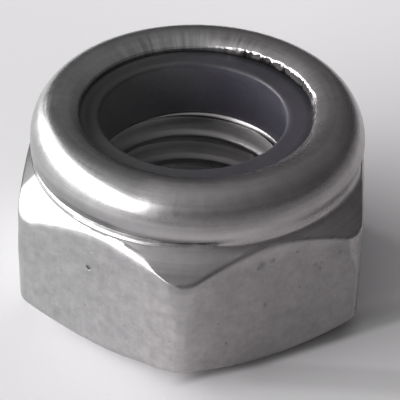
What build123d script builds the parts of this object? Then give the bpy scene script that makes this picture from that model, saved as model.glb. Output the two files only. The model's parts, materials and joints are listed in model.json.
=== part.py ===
from build123d import *
import math
import os

# Nylon insert lock nut, M12 x 1.75.
#
# A hexagon nut whose top carries a thin round collar. A plain nylon ring stands in a
# recess inside the collar, on top of the threaded length, and the mouth of the collar is
# rolled inwards over the ring, so that the ring can neither turn nor come out.
#
# Millimetres, +Z up. The origin is the centre of the bearing face, on the thread's axis,
# and the flats of the hexagon face 0, 60, 120, ... degrees about Z.

# --- thread -----------------------------------------------------------------------------
thread_diameter = 12.0
thread_pitch = 1.75
countersink_margin = 0.45      # how far the countersink opens past the thread's crest, radially
countersink_angle = 90.0       # included angle

# --- hexagon ----------------------------------------------------------------------------
across_flats = 19.0
total_height = 11.65
corner_radius = 0.85           # the six upright corners
bearing_inset = 0.8            # the bearing face ends this far inside the flats
bearing_chamfer_angle = 30.0   # from the horizontal
top_chamfer_angle = 41.0       # from the horizontal

# --- collar and rolled lip --------------------------------------------------------------
collar_height = 2.75           # from the crease at the foot of the collar to the crest of the lip
collar_inset = 0.13            # the widest ring of the collar is this far inside the flats
collar_foot_radius = 1.55      # hollow between the crease and the top chamfer
collar_wall = 1.2              # at the widest ring
shoulder_height = 2.25         # from the widest ring up to the crest of the lip
shoulder_share = 0.555         # of the rolled mouth's width, the rest being the top of the lip
lip_drop = 0.6                 # from the crest down to the cut edge of the lip
lip_edge_thickness = 0.22
lip_edge_slant = 0.05          # the cut edge of the lip leans out by this much
rolled_height = 1.5            # the inside of the wall starts to lean in this far below the lip

# --- nylon ring -------------------------------------------------------------------------
insert_height = 3.4
insert_show = 1.12             # width of the ring left uncovered inside the lip
insert_lead_in = 0.3           # chamfer round the mouth of its bore
insert_bore_interference = 0.03  # the bore is this much under the thread's pitch radius
insert_clearance = 0.03        # between the ring and the metal around and above it

# --- sizes that follow ------------------------------------------------------------------
flat_radius = across_flats / 2
corner_reach = flat_radius / math.cos(math.radians(30))  # radius to the hexagon's sharp corners

minor_radius = thread_diameter / 2 - 0.54127 * thread_pitch
pitch_radius = thread_diameter / 2 - 0.32476 * thread_pitch
countersink_radius = thread_diameter / 2 + countersink_margin
countersink_depth = (countersink_radius - minor_radius) / math.tan(math.radians(countersink_angle / 2))

bearing_radius = flat_radius - bearing_inset
bearing_slope = math.tan(math.radians(bearing_chamfer_angle))
top_slope = math.tan(math.radians(top_chamfer_angle))

collar_radius = flat_radius - collar_inset
recess_radius = collar_radius - collar_wall
insert_bore_radius = pitch_radius - insert_bore_interference
lip_edge_radius = insert_bore_radius + insert_show
lip_edge_z = total_height - lip_drop
underlip_radius = lip_edge_radius + lip_edge_slant
underlip_z = lip_edge_z - lip_edge_thickness
rolled_z = underlip_z - rolled_height
seat_z = underlip_z - insert_clearance - insert_height

# The collar's outside is an arc of an ellipse, level at the crest and upright at the widest
# ring. It runs on below that ring to the crease at its foot, where it is a little narrower.
shoulder_width = (collar_radius - lip_edge_radius) * shoulder_share
crest_radius = collar_radius - shoulder_width
widest_z = total_height - shoulder_height
crease_z = total_height - collar_height
crease_angle = math.asin((widest_z - crease_z) / shoulder_height)
neck_radius = crest_radius + shoulder_width * math.cos(crease_angle)


# The blank is hexagon bar with slightly rounded corners. Everything else on the metal part
# is turned, so its whole section is drawn once and swung round the axis.
with BuildPart() as nut_body:
    with BuildSketch() as bar_section:
        RegularPolygon(flat_radius, 6, major_radius=False, rotation=30)
        fillet(bar_section.vertices(), corner_radius)
    extrude(amount=total_height)

    with BuildSketch(Plane.XZ) as turned_section:
        with BuildLine():
            # threaded bore with its countersink, seat and recess of the nylon ring, and the
            # inside of the wall leaning over the ring to the cut edge of the lip
            Polyline(
                (bearing_radius, 0),
                (countersink_radius, 0),
                (minor_radius, countersink_depth),
                (minor_radius, seat_z),
                (recess_radius, seat_z),
                (recess_radius, rolled_z),
                (underlip_radius, underlip_z),
                (lip_edge_radius, lip_edge_z),
            )
            # top of the lip, level at the crest and curving down to the cut edge
            TangentArc((crest_radius, total_height), (lip_edge_radius, lip_edge_z), tangent=(-1, 0))
            # outside of the collar, from the crease up to the crest
            EllipticalCenterArc(
                (crest_radius, widest_z),
                shoulder_width,
                shoulder_height,
                start_angle=-math.degrees(crease_angle),
                arc_size=math.degrees(crease_angle) + 90,
            )
            # hollow foot, running out into the chamfer that rounds off the hexagon's corners
            foot = JernArc((neck_radius, crease_z), (0, -1), collar_foot_radius, 90 - top_chamfer_angle)
            foot_end = foot @ 1
            Polyline(
                foot_end,
                (corner_reach, foot_end.Y - (corner_reach - foot_end.X) * top_slope),
                (corner_reach, (corner_reach - bearing_radius) * bearing_slope),
                (bearing_radius, 0),
            )
        make_face()
    revolve(axis=Axis.Z, mode=Mode.INTERSECT)
nut_body.part.label = "nut_body"


# The ring is moulded to the shape of the recess: it stands on the seat, and its outer top
# edge is bevelled to lie along the leaning inside of the wall.
with BuildPart() as locking_insert:
    with BuildSketch(Plane.XZ) as ring_section:
        ring_radius = recess_radius - insert_clearance
        ring_top = seat_z + insert_height
        with BuildLine():
            Polyline(
                (underlip_radius, ring_top),
                (insert_bore_radius, ring_top),
                (insert_bore_radius, seat_z),
                (ring_radius, seat_z),
                (ring_radius, rolled_z - insert_clearance),
                close=True,
            )
        make_face()
        mouth = ring_section.vertices().sort_by_distance((insert_bore_radius, ring_top))[0]
        chamfer(mouth, insert_lead_in)
    revolve(axis=Axis.Z)
locking_insert.part.label = "locking_insert"


os.makedirs("parts", exist_ok=True)
for piece in (nut_body, locking_insert):
    export_step(piece.part, "parts/" + piece.part.label + ".step")
    size = piece.part.bounding_box().size
    print(piece.part.label, "volume", round(piece.part.volume, 2), "size", size)
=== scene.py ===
# %% [markdown]
# # A nylon insert lock nut
#
# This lesson gives a small machine part its looks. The part is a hexagon nut of stainless
# steel with a round collar on top. The collar's mouth is rolled inwards and holds a dark
# ring of nylon, which grips the bolt. The shape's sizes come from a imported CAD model, which
# is loaded first and never changed: the pieces made here stand in the same place, in metres,
# and only show more of what the real nut has, such as its thread and its torn lip.

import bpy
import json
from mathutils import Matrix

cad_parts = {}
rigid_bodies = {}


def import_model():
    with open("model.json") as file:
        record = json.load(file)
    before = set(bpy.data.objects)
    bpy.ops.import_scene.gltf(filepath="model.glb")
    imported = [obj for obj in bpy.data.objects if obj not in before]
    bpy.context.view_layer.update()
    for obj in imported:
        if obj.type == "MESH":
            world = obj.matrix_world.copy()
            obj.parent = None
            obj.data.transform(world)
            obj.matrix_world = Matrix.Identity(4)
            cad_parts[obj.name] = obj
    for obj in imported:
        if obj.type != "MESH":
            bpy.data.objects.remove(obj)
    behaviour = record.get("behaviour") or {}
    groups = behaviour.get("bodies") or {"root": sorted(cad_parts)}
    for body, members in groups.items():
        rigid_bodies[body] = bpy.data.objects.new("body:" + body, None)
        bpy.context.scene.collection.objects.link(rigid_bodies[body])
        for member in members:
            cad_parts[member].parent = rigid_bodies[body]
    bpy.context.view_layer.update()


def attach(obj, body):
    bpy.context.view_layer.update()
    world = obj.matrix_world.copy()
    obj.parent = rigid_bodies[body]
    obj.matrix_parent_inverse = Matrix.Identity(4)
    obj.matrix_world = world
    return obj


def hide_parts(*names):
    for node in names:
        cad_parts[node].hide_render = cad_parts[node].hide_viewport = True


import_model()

# %% [markdown]
# ## Helpers for working as by hand
#
# Blender's operators act on whatever is selected, so each step starts by letting go of
# everything. The pieces are modelled in millimetres, because a nut is so small in metres that
# merge distances become hard to read, and each finished piece is then shrunk a thousandfold.

# %% Imports and small helpers
import json
import math

import bpy
import numpy as np
from mathutils import Matrix, Vector, noise

MILLIMETRE = 0.001
MERGE = 1e-4
FULL_TURN = 2 * math.pi


def let_go():
    """Leaves edit mode and deselects everything."""
    if bpy.context.object and bpy.context.object.mode != "OBJECT":
        bpy.ops.object.mode_set(mode="OBJECT")
    bpy.ops.object.select_all(action="DESELECT")


def take(piece):
    """Makes a piece the only selected one."""
    let_go()
    piece.select_set(True)
    bpy.context.view_layer.objects.active = piece


def edit_all(piece):
    """Opens a piece in edit mode with all of it selected."""
    take(piece)
    bpy.ops.object.mode_set(mode="EDIT")
    bpy.ops.mesh.select_all(action="SELECT")


def close_up(piece):
    """Merges doubled points, then turns every face outwards."""
    edit_all(piece)
    bpy.ops.mesh.remove_doubles(threshold=MERGE)
    bpy.ops.mesh.normals_make_consistent(inside=False)
    let_go()


def apply_all(piece):
    """Applies the modifiers of a piece, first to last."""
    take(piece)
    for modifier in list(piece.modifiers):
        bpy.ops.object.modifier_apply(modifier=modifier.name)


def to_metres(piece):
    """Shrinks a piece from millimetres to its real size, into its mesh."""
    take(piece)
    piece.scale = (MILLIMETRE,) * 3
    bpy.ops.object.transform_apply(location=False, rotation=False, scale=True)


def smooth_below(piece, degrees):
    """Shades smoothly across edges that turn by less than an angle."""
    take(piece)
    bpy.ops.object.shade_smooth_by_angle(angle=math.radians(degrees))


def bend_arc(centre, reach_r, reach_z, start, end, steps):
    """Points of an elliptical arc in a section, from one angle to another in degrees."""
    points = []
    for step in range(steps + 1):
        angle = math.radians(start + (end - start) * step / steps)
        points.append((centre[0] + reach_r * math.cos(angle),
                       centre[1] + reach_z * math.sin(angle)))
    return points


def between(first, last, share):
    """The point at a share of the way from one point of a section to another."""
    return tuple(first[i] + (last[i] - first[i]) * share for i in (0, 1))


def soften(before, corner, after, width, steps=4, width_after=None):
    """A small round on a section's corner, from width before it to width after it."""
    def along(target, reach):
        length = math.dist(corner, target)
        return between(corner, target, min(reach, length / 2) / length)

    first, last = along(before, width), along(after, width if width_after is None else width_after)
    points = []
    for step in range(steps + 1):
        t = step / steps
        a, b, c = (1 - t) ** 2, 2 * t * (1 - t), t ** 2
        points.append(tuple(a * first[i] + b * corner[i] + c * last[i] for i in (0, 1)))
    return points


def smooth_step(low, high, value):
    """Rises smoothly from 0 at low to 1 at high."""
    t = min(max((value - low) / (high - low), 0.0), 1.0)
    return t * t * (3 - 2 * t)


def signed_degrees(angle):
    """A direction in degrees, from -180 to 180."""
    return math.degrees(angle + math.pi) % 360 - 180


# %% [markdown]
# ## The camera
#
# The camera looks down on the nut from about 36 degrees. A long lens keeps the hexagon's
# sides nearly parallel. Its place is given as a distance and two angles about the nut. It
# aims at a point on the nut's axis, and a small turn, tilt and roll then correct that aim.

# %% Camera
IMAGE_WIDTH = 400
SENSOR_WIDTH = 36.0
ACROSS_FLATS = 19.0
FOCAL_PIXELS = 1733.8
CAMERA_DISTANCE = 5.232 * ACROSS_FLATS
CAMERA_ELEVATION = math.radians(36.24)
CAMERA_AZIMUTH = math.radians(-86.76)
AIM_HEIGHT = 0.3 * ACROSS_FLATS
AIM_TURN = math.radians(-0.17)
AIM_TILT = math.radians(-0.40)
AIM_ROLL = math.radians(-1.17)


def make_camera():
    outwards = Vector((math.cos(CAMERA_AZIMUTH), math.sin(CAMERA_AZIMUTH), 0))
    height = Vector((0, 0, 1))
    place = outwards * math.cos(CAMERA_ELEVATION) + height * math.sin(CAMERA_ELEVATION)
    place = place * CAMERA_DISTANCE + height * AIM_HEIGHT
    forward = -outwards * math.cos(CAMERA_ELEVATION) - height * math.sin(CAMERA_ELEVATION)
    right = Vector((-math.sin(CAMERA_AZIMUTH), math.cos(CAMERA_AZIMUTH), 0))
    up = right.cross(forward)
    for angle, axis_name in ((AIM_TURN, "up"), (AIM_TILT, "right"), (AIM_ROLL, "forward")):
        axis = {"up": up, "right": right, "forward": forward}[axis_name]
        turn = Matrix.Rotation(angle, 3, axis)
        forward, right, up = turn @ forward, turn @ right, turn @ up
    data = bpy.data.cameras.new("camera")
    data.sensor_width = SENSOR_WIDTH
    data.lens = FOCAL_PIXELS * SENSOR_WIDTH / IMAGE_WIDTH
    data.clip_start = MILLIMETRE
    camera = bpy.data.objects.new("camera", data)
    rotation = Matrix((right, up, -forward)).transposed()
    camera.matrix_world = Matrix.Translation(place * MILLIMETRE) @ rotation.to_4x4()
    bpy.context.scene.collection.objects.link(camera)
    bpy.context.scene.camera = camera
    return camera


camera = make_camera()
print("camera at", tuple(round(v, 4) for v in camera.location),
      "lens", round(camera.data.lens, 1), "mm")

# %% [markdown]
# ## Sizes of the nut
#
# These are the CAD model's sizes, in millimetres, with the few that only the eye needs, such
# as how soft an edge is. The hexagon's flats face 0, 60, 120, ... degrees.

# %% Sizes of the steel body
FLAT_RADIUS = ACROSS_FLATS / 2
SECTOR = math.radians(60)
HALF_SECTOR = SECTOR / 2
CORNER_RADIUS = 0.85
TOTAL_HEIGHT = 11.65
BEARING_RADIUS = 8.7
BEARING_SLOPE = math.tan(math.radians(30))

THREAD_RADIUS = 6.0
PITCH = 1.75
MINOR_RADIUS = THREAD_RADIUS - 0.54127 * PITCH
COUNTERSINK_RADIUS = 6.45
COUNTERSINK_DEPTH = COUNTERSINK_RADIUS - MINOR_RADIUS

COLLAR_RADIUS = 9.37
CREASE_Z = 8.9
SHOULDER_HEIGHT = 2.25
LIP_EDGE = (6.52, 11.05)
UNDERLIP = (6.57, 10.83)
ROLLED_Z = 9.33
RECESS_RADIUS = 8.17
SEAT_Z = 7.4

SHOULDER_WIDTH = (COLLAR_RADIUS - LIP_EDGE[0]) * 0.555
CREST_RADIUS = COLLAR_RADIUS - SHOULDER_WIDTH
WIDEST_Z = TOTAL_HEIGHT - SHOULDER_HEIGHT
CREASE_ANGLE = math.asin((WIDEST_Z - CREASE_Z) / SHOULDER_HEIGHT)
NECK_RADIUS = CREST_RADIUS + SHOULDER_WIDTH * math.cos(CREASE_ANGLE)

# %% Sizes of the ring
RING_GAP = 0.03
RING_BORE_RADIUS = 5.4
RING_TOP = UNDERLIP[1] - RING_GAP
RING_EDGE = 0.3

# %% Corners of the hexagon
WORN_CORNER_RADIUS = 2.0
WORN_CORNER_HEIGHT = 2.4


def corner_sizes(radius):
    """A corner's round: how far out its centre lies, and half the angle it spans."""
    centre = (FLAT_RADIUS - radius) / math.cos(HALF_SECTOR)
    end_out = centre + radius * math.cos(HALF_SECTOR)
    return centre, math.atan(radius * math.sin(HALF_SECTOR) / end_out)


corner_half_angle = corner_sizes(CORNER_RADIUS)[1]
corner_reach = corner_sizes(CORNER_RADIUS)[0] + CORNER_RADIUS
print("corner to corner", round(2 * corner_reach, 2), "mm, one corner's round spans",
      round(2 * math.degrees(corner_half_angle), 1), "degrees")

# %% [markdown]
# ## The steel body, step 1: a turned blank
#
# A real nut starts as hexagon bar and is turned. In Blender it is easier the other way
# round: the turned section is drawn as one closed outline and spun round the axis, which
# gives clean rows and columns of faces. The outline starts at the mouth of the countersink
# and goes out along the bearing face, up the outside, over the lip and down the inside.
#
# After the spin each column is moved out to the section of its own direction: the reach of
# the hexagon, the height at which a flat cuts the chamfer, and the state of the lip's edge
# all change on the way round.


# %% The hexagon, seen from above
def hexagon_reach(angle, radius=CORNER_RADIUS):
    """Distance from the axis to the round-cornered hexagon, in one direction."""
    turn = (angle + HALF_SECTOR) % SECTOR - HALF_SECTOR
    from_corner = HALF_SECTOR - abs(turn)
    centre, half_angle = corner_sizes(radius)
    if from_corner < half_angle:
        aside = centre * math.sin(from_corner)
        return centre * math.cos(from_corner) + math.sqrt(radius ** 2 - aside ** 2)
    return FLAT_RADIUS / math.cos(turn)


def round_noise(angle, detail, seed):
    """Noise from -1 to 1 that closes on itself round the nut. More detail, shorter waves."""
    return noise.noise(Vector((math.cos(angle) * detail, math.sin(angle) * detail, seed)))


# %% The foot of the collar and the chamfer under it
HOLLOW_RADIUS = 0.95
HOLLOW_SLOPE = math.radians(44)
HOLLOW_NECK = 9.2
HOLLOW_TOP = CREASE_Z - 0.02
FOLD_BOTTOM = (9.02, 8.669)
FOLD_SLOPE = math.radians(52)
CHAMFER_SLOPE = math.radians(43.2)
FOLD_LENGTH = 0.55
FOLD_STARTS = (150, 172)
FOLD_ENDS = (290, 270)
COLLAR_SHIFT = (0.074, 0.104)
TOOL_LINE = 0.045
TOOL_LINE_DEPTH = 0.036
TOOL_LINE_SIDE = 208
TOOL_LINE_LEAVES = (72, 48)
TOOL_LINE_ENDS = (76, 60)
TOOL_LINE_FAINTER = (228, 242)
BEAD_HEIGHT = 0.026
OUTWARDS = 0.7


def hollow_point(distance):
    """Down a hollow foot, upright at the collar's wall and running out into the chamfer."""
    full_turn = math.pi / 2 - HOLLOW_SLOPE
    turn = min(distance / HOLLOW_RADIUS, full_turn)
    straight = max(distance - HOLLOW_RADIUS * full_turn, 0.0)
    out = HOLLOW_RADIUS * (1 - math.cos(turn)) + straight * math.cos(HOLLOW_SLOPE)
    down = HOLLOW_RADIUS * math.sin(turn) + straight * math.sin(HOLLOW_SLOPE)
    return HOLLOW_NECK + out, HOLLOW_TOP - down


def folded_point(distance):
    """Down a chamfer that starts inside a fold under the collar, a little steeper there."""
    bend = min(distance, FOLD_LENGTH)
    straight = max(distance - FOLD_LENGTH, 0.0)
    middle = FOLD_SLOPE + (CHAMFER_SLOPE - FOLD_SLOPE) * bend / FOLD_LENGTH / 2
    return (FOLD_BOTTOM[0] + bend * math.cos(middle) + straight * math.cos(CHAMFER_SLOPE),
            FOLD_BOTTOM[1] - bend * math.sin(middle) - straight * math.sin(CHAMFER_SLOPE))


def fold(angle):
    """1 where the collar bulges over the chamfer in a fold, 0 where a hollow foot joins them."""
    turn = math.degrees(angle) % 360
    return smooth_step(*FOLD_STARTS, turn) * smooth_step(*FOLD_ENDS, turn)


def foot_point(distance, angle, proud=0.0):
    """The point this far down the foot and chamfer, in one direction."""
    folded = fold(angle)
    hollow, steep = hollow_point(distance), folded_point(distance)
    return tuple(hollow[i] * (1 - folded) + steep[i] * folded + OUTWARDS * proud for i in (0, 1))


def foot_distance(reach, angle):
    """How far down the foot and chamfer run before they meet a radius, by halving."""
    low, high = 0.0, 4.0
    for _ in range(24):
        middle = (low + high) / 2
        if foot_point(middle, angle)[0] < reach:
            low = middle
        else:
            high = middle
    return low


def tool_line(distance, angle):
    """How proud the chamfer stands beside the fold: a low bead, then the line a tool left.

    The turning tool ran a little off centre, so the line leaves the fold on one side."""
    turn = math.degrees(angle) % 360
    aside = abs((turn - TOOL_LINE_SIDE + 180) % 360 - 180)
    place = 0.03 + 0.27 * smooth_step(*TOOL_LINE_LEAVES, aside)
    bead = BEAD_HEIGHT * math.exp(-((distance - place * 0.5) / max(place * 0.4, 0.03)) ** 2)
    fainter = 1 - 0.5 * smooth_step(*TOOL_LINE_FAINTER, turn)
    line = TOOL_LINE_DEPTH * fainter * math.exp(-((distance - place) / TOOL_LINE) ** 2)
    return (bead - line) * smooth_step(*TOOL_LINE_ENDS, aside)


def collar_aside(angle):
    """How far the collar stands out past its true circle, being turned off centre."""
    return COLLAR_SHIFT[0] * math.cos(angle) + COLLAR_SHIFT[1] * math.sin(angle)


# %% The lip, whose cut edge is torn on one side
# how far the edge is broken away, as (direction in degrees, width in millimetres)
BREAKS = [
    (-6, 0.0), (0, 0.04), (4, 0.08), (7, 0.13), (10, 0.22), (13, 0.3), (16, 0.31), (19, 0.21),
    (22, 0.22), (27, 0.22), (32, 0.25), (36, 0.27), (41, 0.25), (43.2, 0.12), (44, 0.02),
    (44.8, 0.16), (46.5, 0.28), (50, 0.2), (53, 0.12), (55.7, 0.2), (57.5, 0.09), (59, 0.1),
    (61.5, 0.22), (63.5, 0.18), (65, 0.17), (67, 0.06), (69, 0.07), (71.5, 0.16), (73, 0.12),
    (76, 0.05), (80, 0.07), (84, 0.02), (90, 0.0)]
# nicks in it, as (direction, width in degrees, depth in millimetres)
NOTCHES = [(68, 0.7, 0.06), (58.3, 0.7, 0.06), (53.5, 0.5, 0.05), (44, 0.6, 0.1),
           (28, 0.8, 0.04), (8.5, 0.6, 0.05), (-1.5, 1.0, -0.09)]
TORN_STARTS = (-22, 2)
TORN_ENDS = (100, 74)
BREAK_SLOPE = math.tan(math.radians(53))
STEEPER_SLOPE = math.tan(math.radians(74))
WHOLE_SLOPE = 1.1
BRINK_RADIUS = 6.545
BREAK_REACH = 0.66
EDGE_TOP = UNDERLIP[1] + 0.16
TORN_DROP = 0.25
TORN_DROP_RADIUS = 6.8
BURR_RADIUS = 6.86
BURR_WIDTH = 0.34
BURR_HEIGHT = 0.04
RAGGEDNESS = 0.03
WAVINESS = 0.012
# the round of the thin cut edge: how far out and down, each with what the whole edge adds
EDGE_CURVE = ((0.022, 0.013, 0.035, 0.01), (0.005, 0.013, 0.075, 0.02), (0.0, 0.0, 0.12, 0.0))
LIP_SHARES = (0.0, 0.12, 0.25, 0.38, 0.5, 0.6, 0.7, 0.8, 0.88, 0.94, 1.0)
lip_width = CREST_RADIUS - LIP_EDGE[0]
lip_drop = TOTAL_HEIGHT - LIP_EDGE[1]
LIP_ARC = (lip_width ** 2 + lip_drop ** 2) / (2 * lip_drop)


def lip_height(radius):
    """Height of the lip's top, level at the crest and curving down towards the axis."""
    return TOTAL_HEIGHT - LIP_ARC + math.sqrt(LIP_ARC ** 2 - (CREST_RADIUS - radius) ** 2)


def top_height(radius, torn):
    """The same height, flatter where the edge is torn, and with a low burr where it's whole."""
    inwards = (CREST_RADIUS - radius) / (CREST_RADIUS - TORN_DROP_RADIUS)
    flatter = TOTAL_HEIGHT - TORN_DROP * inwards ** 2
    burr = BURR_HEIGHT * (1 - torn) * max(0.0, (BURR_RADIUS - radius) / BURR_WIDTH) ** 1.5
    higher = lip_height(max(radius, LIP_EDGE[0])) + burr
    return higher + (flatter - higher) * torn


def tear(angle):
    """How the lip's edge is torn in one direction: from 0 to 1, the width broken away, and
    the depth of a notch in the edge."""
    turn = signed_degrees(angle)
    torn = smooth_step(*TORN_STARTS, turn) * smooth_step(*TORN_ENDS, turn)
    broken = float(np.interp(turn, *zip(*BREAKS)))
    notch = sum(depth * math.exp(-((turn - place) / width) ** 2)
                for place, width, depth in NOTCHES)
    return torn, broken, notch


def lip_points(angle):
    """The lip from its crest to the underside of its cut edge."""
    torn, broken, notch = tear(angle)
    whole = 1 - torn
    ragged = round_noise(angle, 26, 3.1) + 0.6 * round_noise(angle, 60, 8.4)
    wavy = round_noise(angle, 9, 5.5)
    edge = LIP_EDGE[0] + 0.01 + torn * RAGGEDNESS * ragged - WAVINESS * wavy + notch
    brink = BRINK_RADIUS + BREAK_REACH * broken + RAGGEDNESS * torn * round_noise(angle, 90, 1.7)
    brink = max(edge + 0.06, brink)

    points = []
    for share in LIP_SHARES:
        radius = CREST_RADIUS + (brink - CREST_RADIUS) * share
        aside = collar_aside(angle) * (1 - share)
        points.append((radius + aside, top_height(radius, torn)))

    # the broken face starts gently and then falls steeply
    slope = BREAK_SLOPE * torn + whole * WHOLE_SLOPE
    steeper = STEEPER_SLOPE * torn + whole * WHOLE_SLOPE
    turn = signed_degrees(angle)
    gentle = 0.5 + 0.24 * round_noise(angle, 34, 6.6) + 0.5 * smooth_step(17, 13, turn)
    gentle = min(max(gentle * torn + 1 - torn, 0.25), 0.96)
    width = brink - (edge + 0.045 + 0.02 * whole)
    brink_height = points[-1][1]
    for share in (0.08, gentle, gentle + 0.04, 1.0):
        drop = width * (min(share, gentle) * slope + max(share - gentle, 0) * steeper)
        points.append((brink - width * share, max(brink_height - drop, EDGE_TOP)))

    # the thin cut edge is rounded above and below
    top = points[-1][1]
    for out, more_out, down, more_down in EDGE_CURVE:
        points.append((edge + out + more_out * whole, top - down - more_down * whole))
    points += [(edge + 0.004, UNDERLIP[1] + 0.03), (edge + 0.02, UNDERLIP[1] + 0.005)]
    return points


# %% The section of the body, for one direction
BEARING_RINGS = (COUNTERSINK_RADIUS + 0.04, COUNTERSINK_RADIUS + 0.2, 7.6, 8.4)
BEARING_ROUND = 0.12
FLAT_EDGE_ROUND = 0.25
WORN_EDGE_ROUND = 0.18
CREASE_ROUND = 0.09
HOLLOW_ROUND = 0.2
FOOT_ROWS = 14
FOOT_DETAIL = 0.378
FLAT_SHARES = (0.01, 0.15, 0.35, 0.5, 0.62, 0.74, 0.84, 0.93, 0.99)
CHAMFER_SHARES = (0.98, 0.8, 0.62, 0.45, 0.28, 0.12)
WALL_STEPS = 32
BREAK_WIDTH = 0.15
BREAK_DEPTH = 0.22
BREAK_ROUND = 0.06


def spaced(first, last, shares):
    """Points between two points, at shares of the way."""
    return [between(first, last, share) for share in shares]


def edge_softness(angle):
    """The width of the round on the hexagon's curved edges. One flat's edge is worn
    wide, and is still crisp where it nears the corner."""
    turn = math.degrees(angle) % 360
    worn = smooth_step(200, 222, turn) * smooth_step(268, 256, turn)
    kept = smooth_step(257, 263, turn) * smooth_step(270.5, 268, turn)
    uneven = 0.05 * round_noise(angle, 3, 0.5)
    return (FLAT_EDGE_ROUND + WORN_EDGE_ROUND * worn + uneven) * (1 - 0.8 * kept)


def body_section(angle):
    """The closed outline of the body, as (radius, height) points, in one direction."""
    reach = hexagon_reach(angle)
    worn_reach = hexagon_reach(angle, WORN_CORNER_RADIUS)
    hollow = 1 - fold(angle)
    low = (reach, (reach - BEARING_RADIUS) * BEARING_SLOPE)
    down = foot_distance(worn_reach, angle)
    high = foot_point(down, angle)
    soft = edge_softness(angle)
    soft_above = min(soft, down - 0.4)

    section = [(radius, 0) for radius in BEARING_RINGS]
    section += soften((8.0, 0), (BEARING_RADIUS, 0), low, BEARING_ROUND)
    low_round = soften((BEARING_RADIUS, 0), low, high, soft)
    section += spaced(section[-1], low_round[0], (0.3, 0.6, 0.9))
    section += low_round
    lean = (worn_reach, high[1] - 1.0)
    high_round = soften(lean, high, foot_point(down - 2 * soft_above, angle), soft, 6, soft_above)
    for share in FLAT_SHARES:
        height = low_round[-1][1] + (high_round[0][1] - low_round[-1][1]) * share
        worn = smooth_step(WORN_CORNER_HEIGHT, 0.0, high[1] - height)
        section.append((reach + (worn_reach - reach) * worn, height))
    section += high_round
    first_row = 0.3 * hollow
    left = down - soft_above - 0.02
    last_row = first_row + min(FOOT_DETAIL, 0.8 * (left - first_row))
    for share in CHAMFER_SHARES:
        distance = last_row + (left - last_row) * share
        section.append(foot_point(distance, angle, tool_line(distance, angle)))
    for step in range(FOOT_ROWS, -1, -1):
        distance = first_row + (last_row - first_row) * step / FOOT_ROWS
        section.append(foot_point(distance, angle, tool_line(distance, angle)))
    wall = bend_arc((CREST_RADIUS, WIDEST_Z), SHOULDER_WIDTH, SHOULDER_HEIGHT,
                    -math.degrees(CREASE_ANGLE) + 3 + 12 * hollow, 90, WALL_STEPS)
    wall = [(radius + collar_aside(angle), height) for radius, height in wall]
    crease = (NECK_RADIUS + collar_aside(angle) / 2, CREASE_Z)
    crease = (crease[0] + (HOLLOW_NECK + 0.03 - crease[0]) * hollow, crease[1] + 0.08 * hollow)
    section += soften(foot_point(first_row, angle), crease, wall[0],
                      CREASE_ROUND + HOLLOW_ROUND * hollow, 6)
    section += wall[:-1]
    section += lip_points(angle)
    section += spaced(UNDERLIP, (RECESS_RADIUS, ROLLED_Z), (0.0, 0.5, 1.0))
    section += spaced((RECESS_RADIUS, ROLLED_Z), (RECESS_RADIUS, SEAT_Z), (0.5, 1.0))
    section += spaced((RECESS_RADIUS, SEAT_Z), (MINOR_RADIUS, SEAT_Z), (0.4, 0.75))
    break_top = (MINOR_RADIUS + BREAK_WIDTH, SEAT_Z)
    break_low = (MINOR_RADIUS, SEAT_Z - BREAK_DEPTH)
    section += soften((5.6, SEAT_Z), break_top, break_low, BREAK_ROUND, 3)
    section += soften(break_top, break_low, (MINOR_RADIUS, 6.5), BREAK_ROUND, 3)
    section += spaced(break_low, (MINOR_RADIUS, COUNTERSINK_DEPTH), (0.25, 0.5, 0.75, 1.0))
    return section


# %% Spinning the section
COLUMNS_PER_CORNER = 24
COLUMNS_PER_FLAT = 76


def column_angles():
    """Directions of the columns of faces, closer together round the corners."""
    angles = []
    side = HALF_SECTOR - corner_half_angle
    for sector in range(6):
        middle = sector * SECTOR
        for step in range(COLUMNS_PER_FLAT):
            share = 2 * step / COLUMNS_PER_FLAT - 1
            angles.append(middle + side * math.copysign(1 - (1 - abs(share)) ** 1.1, share))
        for step in range(COLUMNS_PER_CORNER):
            angles.append(middle + side + 2 * corner_half_angle * step / COLUMNS_PER_CORNER)
    return angles


def spin_outline(name, outline, columns):
    """Bends a ring of points into a closed outline and spins it round the nut's axis.

    Each point keeps its number along the outline in the attribute row."""
    let_go()
    bpy.ops.mesh.primitive_circle_add(vertices=len(outline), radius=1.0, fill_type="NOTHING")
    piece = bpy.context.object
    piece.name = name
    row = piece.data.attributes.new("row", "INT", "POINT")
    for number, point in enumerate(outline):
        piece.data.vertices[number].co = (point[0], 0, point[1])
        row.data[number].value = number
    edit_all(piece)
    bpy.ops.mesh.spin(steps=columns, angle=FULL_TURN, center=(0, 0, 0), axis=(0, 0, 1))
    let_go()
    close_up(piece)
    return piece


def read_columns(piece, columns):
    """Each point's row along the outline, and its column round the axis."""
    count = len(piece.data.vertices)
    places = np.empty(count * 3)
    piece.data.vertices.foreach_get("co", places)
    places = places.reshape(-1, 3)
    rows = np.empty(count, dtype=np.int32)
    piece.data.attributes["row"].data.foreach_get("value", rows)
    angles = np.arctan2(places[:, 1], places[:, 0]) % FULL_TURN
    return rows, np.rint(angles / (FULL_TURN / columns)).astype(int) % columns, places


def shape_columns(piece, angles, section_of):
    """Moves every column of a spun piece to the section of its own direction."""
    rows, columns, places = read_columns(piece, len(angles))
    sections = np.array([section_of(angle) for angle in angles])
    directions = np.array([(math.cos(angle), math.sin(angle)) for angle in angles])
    chosen = sections[columns, rows]
    places[:, 0] = chosen[:, 0] * directions[columns, 0]
    places[:, 1] = chosen[:, 0] * directions[columns, 1]
    places[:, 2] = chosen[:, 1]
    piece.data.vertices.foreach_set("co", places.ravel())
    piece.data.update()


def make_blank():
    angles = column_angles()
    blank = spin_outline("nut_body_steel", body_section(HALF_SECTOR), len(angles))
    shape_columns(blank, angles, body_section)
    print("blank:", len(body_section(0)), "rows,", len(angles), "columns,",
          len(blank.data.polygons), "faces")
    return blank


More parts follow.
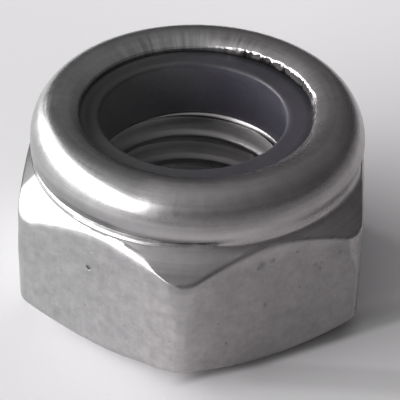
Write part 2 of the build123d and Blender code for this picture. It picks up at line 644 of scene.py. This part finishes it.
body = make_blank()


# %% [markdown]
# ## The steel body, step 2: the thread
#
# On the bench a tap cuts the thread, and a tap is the best tool here too: a rod with the
# outside form of an M12 thread is made with the Screw modifier and taken away from the blank
# with a boolean. The crests that are left are the drilled bore itself. The tap's teeth flare
# a little at the root, so that the crests get the soft edges that catch the light.


# %% The tap and the cut
TAP_CORE = MINOR_RADIUS - 0.15
TAP_CORE_WIDTH = 0.86
FLANK_SLOPE = math.tan(math.radians(30))
ROOT_WIDTH = PITCH / 16
ROOT_ROUND = 0.04
BODY_SMOOTH_BELOW = 34
TAP_STEPS = 120
TAP_TURNS = 8
TAP_START = -3.6
THREAD_TURN = math.radians(150)


def tap_tooth():
    """Half of a tooth of the tap, from its core out to its tip, as (radius, half width)."""
    def flank(radius):
        return ROOT_WIDTH + (THREAD_RADIUS - radius) * FLANK_SLOPE

    crest = MINOR_RADIUS - 0.006
    near_tip = THREAD_RADIUS - ROOT_ROUND
    tip = [(near_tip, flank(near_tip)), (THREAD_RADIUS, ROOT_WIDTH - ROOT_ROUND)]
    rounded = soften((crest, PITCH), (crest, flank(crest)), tip[0], 0.2, 8, 0.4)
    return [(TAP_CORE, TAP_CORE_WIDTH)] + rounded + tip


def make_tap():
    half = tap_tooth()
    tooth = [(TAP_CORE, -PITCH / 2)] + [(radius, -width) for radius, width in half]
    tooth += [(radius, width) for radius, width in reversed(half)] + [(TAP_CORE, PITCH / 2)]
    let_go()
    bpy.ops.mesh.primitive_circle_add(vertices=len(tooth), radius=1.0, fill_type="NOTHING")
    tap = bpy.context.object
    tap.name = "tap"
    for number, (radius, height) in enumerate(tooth):
        tap.data.vertices[number].co = (radius, 0, height + TAP_START)
    edit_all(tap)
    bpy.ops.mesh.select_all(action="DESELECT")
    bpy.ops.object.mode_set(mode="OBJECT")
    for edge in tap.data.edges:
        edge.select = set(edge.vertices) == {0, len(tooth) - 1}
    bpy.ops.object.mode_set(mode="EDIT")
    bpy.ops.mesh.select_mode(type="EDGE")
    bpy.ops.mesh.delete(type="EDGE")
    bpy.ops.mesh.select_mode(type="VERT")
    take(tap)
    screw = tap.modifiers.new("screw", "SCREW")
    screw.angle = FULL_TURN
    screw.screw_offset = PITCH
    screw.iterations = TAP_TURNS
    screw.steps = TAP_STEPS
    screw.render_steps = TAP_STEPS
    screw.use_merge_vertices = True
    screw.merge_threshold = MERGE
    apply_all(tap)
    edit_all(tap)
    bpy.ops.mesh.remove_doubles(threshold=MERGE)
    for end in (-1, 1):
        bpy.ops.mesh.select_all(action="DESELECT")
        bpy.ops.mesh.select_non_manifold(extend=False)
        bpy.ops.object.mode_set(mode="OBJECT")
        middle = TAP_START + PITCH * TAP_TURNS / 2
        for vertex in tap.data.vertices:
            if vertex.select and (vertex.co.z - middle) * end < 0:
                vertex.select = False
        for edge in tap.data.edges:
            ends = [tap.data.vertices[number].select for number in edge.vertices]
            edge.select = all(ends) and edge.select
        bpy.ops.object.mode_set(mode="EDIT")
        bpy.ops.mesh.select_mode(type="EDGE")
        bpy.ops.mesh.extrude_edges_move()
        bpy.ops.mesh.merge(type="COLLAPSE")
        bpy.ops.mesh.select_mode(type="VERT")
    close_up(tap)
    tap.rotation_euler = (0, 0, THREAD_TURN)
    take(tap)
    bpy.ops.object.transform_apply(location=False, rotation=True, scale=False)
    print("tap:", len(tap.data.polygons), "faces")
    return tap


def cut_with(piece, tool):
    """Takes a tool's volume away from a piece, then throws the tool away."""
    take(piece)
    cut = piece.modifiers.new("cut", "BOOLEAN")
    cut.operation = "DIFFERENCE"
    cut.solver = "EXACT"
    cut.object = tool
    apply_all(piece)
    bpy.data.objects.remove(tool)


cut_with(body, make_tap())
smooth_below(body, BODY_SMOOTH_BELOW)
to_metres(body)
body.data.calc_loop_triangles()
print("body:", len(body.data.loop_triangles), "triangles")

# %% [markdown]
# ## The nylon ring
#
# The ring is a plain moulded washer, made like the blank: one closed outline, spun. Only its
# bore and a narrow band of its top show inside the lip. The bore was pressed a little off
# centre when the lip was rolled over, and its edge is a little uneven, as nylon gets.

# %% The ring
RING_SHIFT = (-0.2, 0.02)
RING_MOUTH_RADIUS = 5.2
RING_COLUMNS = 288
RING_STEPS = ((0.1, 8.6), (0.35, 9.2), (0.7, 9.8), (0.95, 10.3))
MOUTH_BOTTOM = 10.3
RING_SMOOTH_BELOW = 40


def ring_section(angle):
    """The closed outline of the ring in one direction, with its mouth squeezed off centre."""
    aside = RING_SHIFT[0] * math.cos(angle) + RING_SHIFT[1] * math.sin(angle)
    mouth = RING_MOUTH_RADIUS + aside + 0.02 * round_noise(angle, 5, 2.2)
    right = smooth_step(30, 8, abs(signed_degrees(angle)))
    edge = RING_EDGE + 0.05 * round_noise(angle, 4, 7.7) + 0.12 * right
    outer = RECESS_RADIUS - RING_GAP
    outline = [(RING_BORE_RADIUS, SEAT_Z), (RING_BORE_RADIUS, 8.0)]
    outline += [(RING_BORE_RADIUS + (mouth - RING_BORE_RADIUS) * share, height)
                for share, height in RING_STEPS]
    outline += soften((mouth, MOUTH_BOTTOM), (mouth, RING_TOP), (6.5, RING_TOP), edge, 7)
    outline += [(6.15, RING_TOP), (UNDERLIP[0], RING_TOP), (outer, ROLLED_Z - RING_GAP)]
    outline += [(outer, SEAT_Z + 0.1), (outer - 0.1, SEAT_Z), (6.8, SEAT_Z)]
    return outline


def make_ring():
    angles = [FULL_TURN * step / RING_COLUMNS for step in range(RING_COLUMNS)]
    ring = spin_outline("locking_ring_nylon", ring_section(0), RING_COLUMNS)
    shape_columns(ring, angles, ring_section)
    smooth_below(ring, RING_SMOOTH_BELOW)
    to_metres(ring)
    return ring


ring = make_ring()
print("ring:", len(ring.data.polygons), "faces")


# %% [markdown]
# ## Shader maths as expressions
#
# A material's colour and roughness are worked out from the place on the piece. Node by node
# that is hard to read, so a small class wraps a socket and lets the sums be written out.


# %% The socket class
class Wire:
    """A shader socket that can be added, multiplied and compared like a number."""

    def __init__(self, tree, socket):
        self.tree = tree
        self.socket = socket

    def math(self, operation, *others):
        return node(self.tree, "ShaderNodeMath", {"operation": operation}, (self, *others))

    def __add__(self, other):
        return self.math("ADD", other)

    def __sub__(self, other):
        return self.math("SUBTRACT", other)

    def __rsub__(self, other):
        return node(self.tree, "ShaderNodeMath", {"operation": "SUBTRACT"}, (other, self))

    def __rtruediv__(self, other):
        return node(self.tree, "ShaderNodeMath", {"operation": "DIVIDE"}, (other, self))

    def __mul__(self, other):
        return self.math("MULTIPLY", other)

    def __truediv__(self, other):
        return self.math("DIVIDE", other)

    def __pow__(self, other):
        return self.math("POWER", other)

    def larger(self, other):
        return self.math("MAXIMUM", other)

    def size(self):
        return self.math("ABSOLUTE")

    def rise(self, low, high):
        """0 at and before one value, 1 at and past the other, smooth between."""
        return node(self.tree, "ShaderNodeMapRange", {"interpolation_type": "SMOOTHSTEP"},
                    {"Value": self, "From Min": low, "From Max": high})

    __radd__ = __add__
    __rmul__ = __mul__


def node(tree, kind, settings=None, sockets=(), output=0):
    """Adds a node: its settings first, then the values or links of its sockets."""
    made = tree.nodes.new(kind)
    for name, value in (settings or {}).items():
        setattr(made, name, value)
    pairs = sockets.items() if isinstance(sockets, dict) else enumerate(sockets)
    for key, value in pairs:
        if isinstance(value, Wire):
            tree.links.new(value.socket, made.inputs[key])
        else:
            made.inputs[key].default_value = value
    return Wire(tree, made.outputs[output])


def new_material(name):
    material = bpy.data.materials.new(name)
    material.use_nodes = True
    tree = material.node_tree
    return material, tree, tree.nodes["Principled BSDF"]


def feed(tree, wire, shader, name):
    tree.links.new(wire.socket, shader.inputs[name])


def vector_math(tree, operation, *values, output=0):
    return node(tree, "ShaderNodeVectorMath", {"operation": operation}, values, output)


def scaled(tree, vector, scale):
    """A vector or colour times a number."""
    return node(tree, "ShaderNodeVectorMath", {"operation": "SCALE"}, {0: vector, "Scale": scale})


def colour_mix(tree, factor, first, second):
    """A colour between two, each a colour or a wire."""
    return node(tree, "ShaderNodeMix", {"data_type": "RGBA"}, {0: factor, 6: first, 7: second}, 2)


def weigh(*parts):
    """A sum of noises, each measured from its middle and given a weight."""
    total = 0.0
    for noise_wire, weight in parts:
        total = (noise_wire - 0.5) * weight + total
    return total


def feed_bump(tree, shader, height):
    """Feeds a height in millimetres to the shader's normal, as a bump."""
    bump = node(tree, "ShaderNodeBump", {},
                {"Strength": 1.0, "Distance": MILLIMETRE, "Height": height})
    feed(tree, bump, shader, "Normal")


# %% Where a point is
class Place:
    """A point's place on the nut in millimetres: along the axes, from the axis, its side."""

    def __init__(self, tree):
        self.tree = tree
        place = node(tree, "ShaderNodeTexCoord", output="Object")
        self.spot = scaled(tree, place, 1 / MILLIMETRE)
        split = node(tree, "ShaderNodeSeparateXYZ", {}, (self.spot,)).socket.node
        self.x, self.y, self.z = (Wire(tree, output) for output in split.outputs)
        self.radius = (self.x * self.x + self.y * self.y) ** 0.5
        self.side_x, self.side_y = self.x / self.radius, self.y / self.radius

    def side(self, degrees):
        """1 on the side of one compass direction, 0 square to it, -1 opposite."""
        turn = math.radians(degrees)
        return self.side_x * math.cos(turn) + self.side_y * math.sin(turn)

    def patch(self, heights=(), radii=(), facing=None):
        """1 on one stretch of the nut. Each pair is where a fade starts and where it is full,
        over the height or over the radius. Facing is a direction with a fade of its own."""
        fades = [self.z.rise(*fade) for fade in heights]
        fades += [self.radius.rise(*fade) for fade in radii]
        if facing:
            fades.append(self.side(facing[0]).rise(*facing[1:]))
        return math.prod(fades)

    def noise(self, scale, detail=3.0, seed=0.0, roughness=0.5):
        """Even noise, about 0.3 to 0.7, with scale waves to the millimetre."""
        moved = vector_math(self.tree, "ADD", self.spot, (seed, 1.7 * seed, 0.6 * seed))
        return node(self.tree, "ShaderNodeTexNoise", {},
                    {"Vector": moved, "Scale": scale, "Detail": detail, "Roughness": roughness})

    def turned(self, along, waves, detail=2.0, seed=0.0):
        """Noise drawn out round the axis, as a cutting tool leaves it: along waves to the
        millimetre across the lines, and waves times round the nut along them."""
        vector = node(self.tree, "ShaderNodeCombineXYZ", {},
                      (self.radius * along + seed, self.z * along, self.side_x * waves))
        return node(self.tree, "ShaderNodeTexNoise", {"noise_dimensions": "4D"},
                    {"Vector": vector, "W": self.side_y * waves, "Scale": 1.0, "Detail": detail})

    def spokes(self, waves, along=0.5, seed=0.0):
        """Noise drawn out towards the axis: waves is its fineness round the nut."""
        inwards = (self.radius - self.z) * along
        vector = node(self.tree, "ShaderNodeCombineXYZ", {},
                      (self.side_x * waves + seed, self.side_y * waves, inwards))
        return node(self.tree, "ShaderNodeTexNoise", {},
                    {"Vector": vector, "Scale": 1.0, "Detail": 2.0})

    def marks(self, places, wobble):
        """1 inside small ragged marks, each given as (x, y, z, size)."""
        ragged = node(self.tree, "ShaderNodeTexNoise", {},
                      {"Vector": self.spot, "Scale": 7.0, "Detail": 2.0}, 1)
        shaken = vector_math(self.tree, "MULTIPLY_ADD", ragged, (wobble,) * 3, self.spot)
        found = None
        for x, y, z, size in places:
            centre = (x + wobble / 2, y + wobble / 2, z + wobble / 2)
            off = vector_math(self.tree, "DISTANCE", shaken, centre, output="Value")
            mark = off.rise(size, size * 0.45)
            found = mark if found is None else found.larger(mark)
        return found


# %% [markdown]
# ## The steel
#
# One material serves the whole body. Its place on the nut tells which finish a point has: the
# flats are drawn and a little mottled, with small pits; the collar, lip and chamfer are turned
# and keep fine lines round the axis. The thread's grooves and bore get painted shade, and the
# thread gets a painted lift of light except on its side in window light. The lip is painted
# lighter at its sides, the collar's crest on its window side, and the back of the rim has a
# painted highlight.
#
# A table of painted shades then takes light from single stretches of the metal: the crease at
# the left and in front, the wall over the crease, the chamfer at the left corner, the first
# thread crest and root, and the lower crests. Each stretch is given by its height, its distance
# from the axis and the side that it faces. More painted shade falls under the torn rim, over
# the inner edge of the bright band, in the fold, on one flat and on the chamfer at the front
# corner.

# %% Marks and shades on the steel
# small pits, as (x, y, z, size) in millimetres, the deepest one first
PITS = [
    (-5.22, -7.96, 5.82, 0.2), (-5.46, -7.82, 3.1, 0.13), (-5.45, -7.82, 0.78, 0.13),
    (-6.89, -6.99, 4.72, 0.1), (4.68, -8.27, 7.26, 0.2), (4.11, -8.6, 7.21, 0.3),
    (3.98, -8.67, 7.05, 0.2), (1.93, -9.85, 4.03, 0.11), (2.39, -9.59, 2.49, 0.12),
    (4.38, -8.44, 4.35, 0.17), (6.21, -7.38, 4.86, 0.15), (7.23, -6.79, 5.78, 0.14),
    (6.98, -6.93, 6.1, 0.2), (7.32, -6.74, 6.15, 0.12), (8.3, -6.18, 6.5, 0.13),
    (5.95, -7.53, 7.4, 0.13)]
# knots on the torn rim that the painted shade under the break leaves out, so they stay bright
KNOTS = [(4.56, 4.76, 11.24, 0.13), (4.02, 5.22, 11.24, 0.12), (3.35, 5.68, 11.26, 0.11)]
# the share of the light that the painted shade in the thread's grooves takes
GROOVE_SHADE_TAKES = 0.25
AT_FLAT = (9.455, 9.485)
THREAD_MOUTH = (6.3, 6.2)
AT_CREASE = (8.75, 8.85)
# painted shade; each: fades over the height, fades over the radius, the side faced, the light
# taken
PAINTED_SHADES = {
    "first thread crest": (((7.36, 7.24), (6.8, 7.0)), ((5.6, 5.45),), (62, 0.6, 0.9), 0.66),
    "first thread root": (((6.95, 6.8), (6.28, 6.48)), ((5.4, 5.5), THREAD_MOUTH),
                          (62, 0.6, 0.9), 0.5),
    "lower crests": (((5.5, 4.9),), ((5.35, 5.15),), None, 0.3),
    "crease at the left": (((9.34, 9.12), AT_CREASE), ((9.05, 9.15),), (234, 0.96, 0.99), 0.42),
    "crease in front": (((9.2, 9.0), AT_CREASE), ((9.05, 9.15),), (262, 0.88, 0.96), 0.35),
    "wall over the crease": (((9.9, 9.4), AT_CREASE), ((8.95, 9.05),), (230, 0.9, 0.98), 0.2),
    "left corner": (((8.7, 8.6), (6.4, 6.8)), ((9.1, 9.3),), (178, 0.908, 0.932), 0.85),
}
STEEL_GREY = (0.426, 0.43, 0.43, 1)
STEEL_PINK = (0.444, 0.424, 0.432, 1)


# %% Steel
def steel():
    material, tree, shader = new_material("stainless_steel")
    place = Place(tree)

    # which part of the nut a point is on
    slant = place.x * 0.5
    rise = place.y * math.cos(HALF_SECTOR)
    across = place.x.size().larger((slant + rise).size()).larger((slant - rise).size())
    flat = across.rise(*AT_FLAT)
    turned = 1.0 - flat
    lip = place.patch([(10.8, 10.95)], [(7.9, 6.9)])
    inside = place.patch([(7.15, 7.05)], [THREAD_MOUTH])
    in_thread = place.patch([(7.4, 7.3)], [(5.2, 5.45), THREAD_MOUTH])
    # the thread gets a painted lift of light, but not high up on its side in window light; there
    # and at the roots less painted shade falls
    thread_in_window_light = place.patch([(5.4, 6.0)], [], (42, 0.72, 0.96))
    thread_lift = in_thread * (1.0 - thread_in_window_light)
    spared_from_shade = (thread_in_window_light * 0.75).larger(place.radius.rise(5.7, 5.9) * 0.8)

    # the patterns in the metal
    clouds = place.noise(0.55, 3.0, 3.0)
    blotches = place.noise(1.7, 4.0, 0.0, 0.6)
    grain = place.noise(6.0, 2.0, 5.0)
    rings = place.turned(6.0, 1.6)
    bands = place.turned(1.6, 0.8, 3.0, 4.0)
    wrinkles = place.spokes(26.0)
    drawn = vector_math(tree, "MULTIPLY", place.spot, (5.0, 5.0, 0.5))
    lines = node(tree, "ShaderNodeTexNoise", {}, {"Vector": drawn, "Scale": 1.0, "Detail": 2.0})
    specks = node(tree, "ShaderNodeTexVoronoi", {}, {"Vector": place.spot, "Scale": 1.15},
                  "Distance")
    pits = place.marks(PITS[:1], 0.22).larger(place.marks(PITS[1:], 0.3) * 0.3)
    pits = pits.larger(specks.rise(0.075, 0.04) * 0.3 * flat)

    # how light the bare metal is, on the flats and on what is turned
    on_flats = weigh((blotches, 0.55), (clouds, 0.25), (grain, 0.16), (lines, 0.12))
    on_turned = weigh((rings, 0.2), (bands, 0.5), (blotches, 0.22), (clouds, 0.3))
    wrinkled = (wrinkles - 0.5) * (place.side(98).rise(0.75, 0.95) * 1.3 + 0.35)
    # painted light on the lip's left and right sides
    at_the_sides = place.side_x.size().rise(0.35, 0.8) * place.side(135).rise(0.95, 0.55)
    on_lip = (wrinkled + at_the_sides * 0.34) * lip
    # a painted highlight on the lip's inner rim at the back
    bright_rim = place.patch([], [(7.1, 6.7)], (74, 0.955, 0.985)) * lip
    # painted light on the collar's crest at the left, on the window side
    left_crest = place.patch([(10.9, 11.2)], [(8.9, 8.4)], (178, 0.7, 0.95))
    front_streaks = (place.spokes(46.0, 0.3, 9.0) - 0.5) \
        * place.patch([(10.2, 10.5)], [(8.2, 8.5)], (266, 0.97, 0.99))
    light = on_turned + (on_flats - on_turned) * flat + on_lip + 1.0
    light = light + left_crest * 0.14 + bright_rim * 0.45 + front_streaks * 0.4

    # what darkens it: pits, and painted shade in the thread's grooves and bore, in the fold,
    # under the torn rim, over the bright band, on one flat, on the chamfer at the front corner
    # and from the table of painted shades; the thread also gets a painted lift of light
    # painted shade on the broken face under the rim's glint, except at the knots
    under_break = (place.z + (wrinkles - 0.5) * 0.34).rise(11.27, 11.21) \
        * place.patch([], [(6.95, 6.85), (6.3, 6.4)], (43, 0.81, 0.9)) \
        * (1.0 - place.marks(KNOTS, 0.1))
    # painted shade over the inner edge of the bright band that the window draws on the shoulder
    from_band = place.radius + place.side(205) * 1.2 - 9.62
    above_band = from_band.rise(0.12, -0.02) * (from_band.rise(-0.35, 0.0) * 0.28 + 0.3) \
        * place.patch([], [(7.5, 7.95)], (222, 0.81, 0.875))
    # blotchy painted shade in the fold under the collar
    in_fold = place.patch([(8.4, 8.55), (9.02, 8.93)], [(9.38, 9.3), (8.8, 8.9)],
                          (228, 0.5, 0.72)) * (blotches.rise(0.35, 0.6) * 0.3 + 0.05)
    # painted shade on the right front flat
    shaded_flat = flat * place.side(300).rise(0.6, 0.8) * place.x.rise(-0.8, 2.6) \
        * place.z.rise(8.4, 6.8)
    # painted shade on the chamfer at the front corner
    shaded_tip = place.patch([(6.4, 6.9)], [(9.5, 10.4)], (270, 0.96, 0.985)) * turned
    # painted shade in the thread's grooves and inside the bore, and a painted lift of light on the
    # thread, more towards the back left
    groove_shade = in_thread * (1.0 - spared_from_shade) * GROOVE_SHADE_TAKES
    dark = (1.0 - pits * 0.72) * (1.0 - groove_shade) * (1.0 - inside * (1.0 - spared_from_shade) * 0.22)
    dark = dark * (thread_lift * (place.side(130).rise(0.75, 0.97) * 0.4 + 0.45) + 1.0)
    dark = dark * (1.0 - under_break * 0.92) * (1.0 - above_band) * (1.0 - in_fold)
    dark = dark * (1.0 - shaded_flat * 0.24) * (1.0 - shaded_tip * 0.24)
    for heights, radii, facing, taken in PAINTED_SHADES.values():
        dark = dark * (1.0 - place.patch(heights, radii, facing) * taken)

    pinker = (place.side(350) + clouds * 0.6).rise(-0.5, 0.8)
    grey = colour_mix(tree, pinker, STEEL_GREY, STEEL_PINK)
    feed(tree, scaled(tree, grey, light * dark), shader, "Base Color")
    shader.inputs["Metallic"].default_value = 1.0
    soft_wall = place.patch([(10.2, 9.7)], [(8.9, 9.1)], (215, 0.45, 0.8)) * turned
    rough = weigh((rings, 0.14), (blotches, 0.1)) + flat * 0.11 + inside * 0.12 + 0.29
    rough = rough + pits * 0.25 + soft_wall * 0.05 + under_break * 0.3
    feed(tree, rough, shader, "Roughness")

    height = (rings - 0.5) * turned * 0.0035 + (blotches - 0.5) * flat * 0.009
    height = height + (grain - 0.5) * 0.0018 + (wrinkles - 0.5) * lip * 0.012 - pits * 0.03
    feed_bump(tree, shader, height)
    print("steel:", len(tree.nodes), "nodes")
    return material


# %% [markdown]
# ## The nylon
#
# Nylon is dark, with a soft sheen and a fine speckle. On the left, where the window does not
# reach, it is painted lighter and greyer as painted light, most on the bore's wall; on the right
# there is a breath of blue in it. Its top gets painted shade next to the lip at the back right
# and at the left, and is darker at the back.

# %% Nylon
# the bore's wall and the top: lighter grey on the left, where the window does not reach, as
# painted light; darker and bluish on the right
WALL_LIFTED, WALL_BLUE = (0.165, 0.165, 0.168, 1), (0.05, 0.046, 0.062, 1)
TOP_LIFTED, TOP_BLUE = (0.07, 0.07, 0.071, 1), (0.05, 0.047, 0.058, 1)


def nylon():
    material, tree, shader = new_material("nylon")
    place = Place(tree)
    clouds = place.noise(0.5, 3.0, 2.0)
    speckle = place.noise(4.5, 3.0, 6.0, 0.6)
    bluer = (place.x + clouds * 4.0).rise(-3.0, 4.0)
    on_top = place.z.rise(10.45, 10.7)
    walls = colour_mix(tree, bluer, WALL_LIFTED, WALL_BLUE)
    top = colour_mix(tree, bluer, TOP_LIFTED, TOP_BLUE)
    colour = colour_mix(tree, on_top, walls, top)
    # painted shade on the top next to the lip at the back right and at the left; the top is also
    # darker at the back
    by_the_lip = place.patch([], [(6.0, 6.4)], (35, 0.0, 0.7))
    at_the_left = place.patch([], [(6.35, 6.0), (5.4, 5.65)], (152, 0.42, 0.8))
    at_the_back = place.side(72).rise(0.75, 1.0)
    level = weigh((speckle, 0.5), (clouds, 0.3)) + 1.0
    for shaded, taken in ((by_the_lip, 0.55), (at_the_left, 0.5), (at_the_back, 0.3)):
        level = level * (1.0 - shaded * on_top * taken)
    feed(tree, scaled(tree, colour, level), shader, "Base Color")
    shiny = place.patch([(9.9, 10.4)], [], (35, 0.94, 0.99))
    rough = weigh((clouds, 0.3), (speckle, 0.12)) - shiny * 0.16 + 0.56
    feed(tree, rough, shader, "Roughness")
    feed_bump(tree, shader, weigh((speckle, 0.006), (clouds, 0.02)))
    print("nylon:", len(tree.nodes), "nodes")
    return material


body.data.materials.clear()
body.data.materials.append(steel())
ring.data.materials.clear()
ring.data.materials.append(nylon())

# %% [markdown]
# ## Floor and light
#
# The nut stands on pale paper beside a window. The window is one wide, low area lamp on the
# left, so that it draws a long bright band on the round collar and throws a soft shadow to
# the right. The rest of the room is the world: a pale ceiling, and walls that darken to the
# right and behind. The paper is painted lighter behind and to the front left as painted
# light, and painted darker further out to the right and in front, and close to the nut's
# shaded side, as painted shade.

# %% Floor
FLOOR_SIZE = 1.6
# painted shade: where the paper darkens, as (direction, start, end) in degrees and millimetres
FADES = [(290, 15, 42), (355, 22, 50)]
# the paper near the nut; lighter paper behind and to the front left, as painted light; the colour
# of the painted shade
BEHIND, AHEAD = (0.64, 0.77, 0.0), (-0.9, -0.44, 0.0)
NEAR_PAPER, PAPER_LIT_BEHIND = (0.81, 0.797, 0.81, 1), (0.93, 0.91, 0.93, 1)
LIT_PAPER, SHADED_PAPER = (0.97, 0.96, 0.97, 1), (0.36, 0.355, 0.36, 1)


def make_floor():
    let_go()
    bpy.ops.mesh.primitive_plane_add(size=FLOOR_SIZE, location=(0, 0, 0))
    floor = bpy.context.object
    floor.name = "floor"
    material, tree, shader = new_material("floor")
    coordinates = node(tree, "ShaderNodeTexCoord", output="Object")

    def along(heading):
        """How far a point lies one way, in metres."""
        return vector_math(tree, "DOT_PRODUCT", coordinates, heading, output="Value")

    shade = None
    for direction, near, far in FADES:
        turn = math.radians(direction)
        way = along((math.cos(turn), math.sin(turn), 0.0))
        fade = way.rise(near * MILLIMETRE, far * MILLIMETRE)
        shade = fade if shade is None else shade.larger(fade)
    # painted light behind and to the front left, and painted shade further out to the right and in
    # front
    paper = colour_mix(tree, along(BEHIND).rise(0.002, 0.036), NEAR_PAPER, PAPER_LIT_BEHIND)
    paper = colour_mix(tree, along(AHEAD).rise(0.024, 0.09), paper, LIT_PAPER)
    colour = colour_mix(tree, shade, paper, SHADED_PAPER)

    # a painted contact shadow: close to the nut's shaded side the paper is painted darker than
    # one lamp leaves it, and a fainter painted shadow lies in front, to the right
    place = Place(tree)
    from_face = place.x * 0.5 - place.y * math.cos(HALF_SECTOR)
    narrower = place.x.rise(5.0, 1.0) * 0.5
    contact = (from_face + narrower).rise(9.85, 9.2) * from_face.rise(7.3, 8.6) \
        * place.x.rise(-0.8, 1.6) * (0.57 - place.x.rise(8.5, 10.2) * 0.28)
    before = place.y.rise(-7.8, -8.6) * place.y.rise(-10.7, -9.5) * place.x.rise(2.5, 4.5)
    kept = (1.0 - contact) * (1.0 - before * 0.14)
    feed(tree, scaled(tree, colour, kept), shader, "Base Color")
    shader.inputs["Roughness"].default_value = 0.9
    shader.inputs["Specular IOR Level"].default_value = 0.2
    floor.data.materials.append(material)
    print("floor:", FLOOR_SIZE, "m,", len(tree.nodes), "nodes")


make_floor()


# %% The window
def round_about(direction, elevation, distance):
    """A place about the nut, from a compass direction and an elevation in degrees."""
    turn, rise = math.radians(direction), math.radians(elevation)
    flat = distance * math.cos(rise)
    return Vector((flat * math.cos(turn), flat * math.sin(turn), distance * math.sin(rise)))


WINDOW_DIRECTION = 188
WINDOW_ELEVATION = 18
WINDOW_DISTANCE = 0.5
WINDOW_SIZE = (1.16, 0.33)
WINDOW_POWER = 8.2
MIDDLE_OF_NUT = Vector((0, 0, 0.006))


def make_window():
    """A wide area lamp that faces the nut."""
    data = bpy.data.lights.new("window", "AREA")
    data.shape = "RECTANGLE"
    data.size, data.size_y = WINDOW_SIZE
    data.energy = WINDOW_POWER
    light = bpy.data.objects.new("window", data)
    light.location = round_about(WINDOW_DIRECTION, WINDOW_ELEVATION, WINDOW_DISTANCE)
    aim = MIDDLE_OF_NUT - light.location
    light.rotation_euler = aim.to_track_quat("-Z", "Y").to_euler()
    bpy.context.scene.collection.objects.link(light)
    print("window at", tuple(round(v, 3) for v in light.location), "power", WINDOW_POWER, "W")


make_window()


# %% The room
ROOM_LEVEL = 0.052
ROOM_COLOUR = (1.0, 0.99, 1.0, 1)
# lighter parts of the room, as (direction, elevation, sharpness, strength)
LIGHTER = [(0, 90, 1, 0.18), (205, 38, 2, 0.37), (280, 10, 2, 0.06)]


def make_room():
    world = bpy.data.worlds.new("room")
    world.use_nodes = True
    tree = world.node_tree
    background = tree.nodes["Background"]
    looking = node(tree, "ShaderNodeTexCoord", output="Generated")
    level = ROOM_LEVEL
    for direction, elevation, sharpness, strength in LIGHTER:
        goal = tuple(round_about(direction, elevation, 1.0))
        facing = vector_math(tree, "DOT_PRODUCT", looking, goal, output="Value").larger(0.0)
        level = facing ** sharpness * strength + level
    feed(tree, level, background, "Strength")
    background.inputs["Color"].default_value = ROOM_COLOUR
    bpy.context.scene.world = world
    print("room:", len(LIGHTER), "lighter parts")


make_room()
bpy.context.scene.view_settings.view_transform = "Standard"

# %% [markdown]
# ## Finishing
#
# Nothing moves on a nut, so both pieces ride on the root body. Each stands in for its CAD
# node, which is hidden; its material got its name when it was made.

# %% Riding, replacing and finishing
SHOWN = ((body, "nut_body", "stainless_steel"), (ring, "locking_insert", "nylon"))
for piece, node_name, slot in SHOWN:
    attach(piece, "root")
    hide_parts(node_name)
